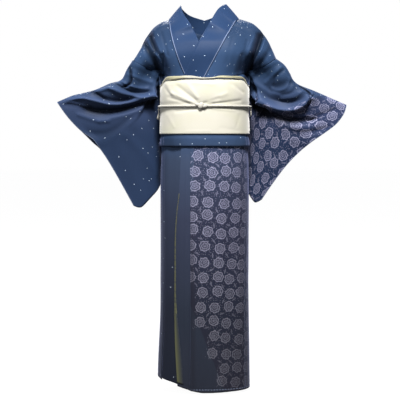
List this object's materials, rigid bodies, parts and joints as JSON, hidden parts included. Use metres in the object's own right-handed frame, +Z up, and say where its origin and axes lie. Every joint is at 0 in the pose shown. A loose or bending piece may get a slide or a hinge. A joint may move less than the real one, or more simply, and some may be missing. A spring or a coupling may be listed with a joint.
{
  "type": "kimono",
  "caption": "Visiting kimono in its worn form: crossed fronts with a standing collar, deep hanging sleeves, a tucked waist and a wide sash with cord, tassels and drum bow.",
  "frame": {"origin": "in the neck opening, level with the shoulders, where the wearer's neck and shoulders carry the garment", "axes": "+Z up, from the hem to the collar; +X towards the wearer's left sleeve; the front faces -Y"},
  "size_m": [1.038, 0.3565, 1.3807],
  "materials": {
    "silk_crepe": "soft silk crepe, navy shading to blue, with small pale dots and lavender-grey roses",
    "lining_silk": "plain olive silk",
    "obi_brocade": "stiff cream woven silk with a low sheen",
    "obiage_silk": "soft pale olive crepe",
    "cord_silk": "braided pale silk"
  },
  "bodies": {
    "root": {"skirt_front_left": "silk_crepe", "overlap_left": "silk_crepe", "skirt_front_right": "silk_crepe", "overlap_right": "silk_crepe", "skirt_back_left": "silk_crepe", "skirt_back_right": "silk_crepe", "overlap_lining_edge": "lining_silk", "body_left": "silk_crepe", "body_right": "silk_crepe", "sleeve_left": "silk_crepe", "sleeve_right": "silk_crepe", "collar": "silk_crepe", "obi_wrap": "obi_brocade", "obi_drum": "obi_brocade", "obi_tail": "obi_brocade", "obi_hand": "obi_brocade", "obiage": "obiage_silk", "obijime": "cord_silk", "tassel_right": "cord_silk", "tassel_left": "cord_silk"}
  },
  "joints": []
}
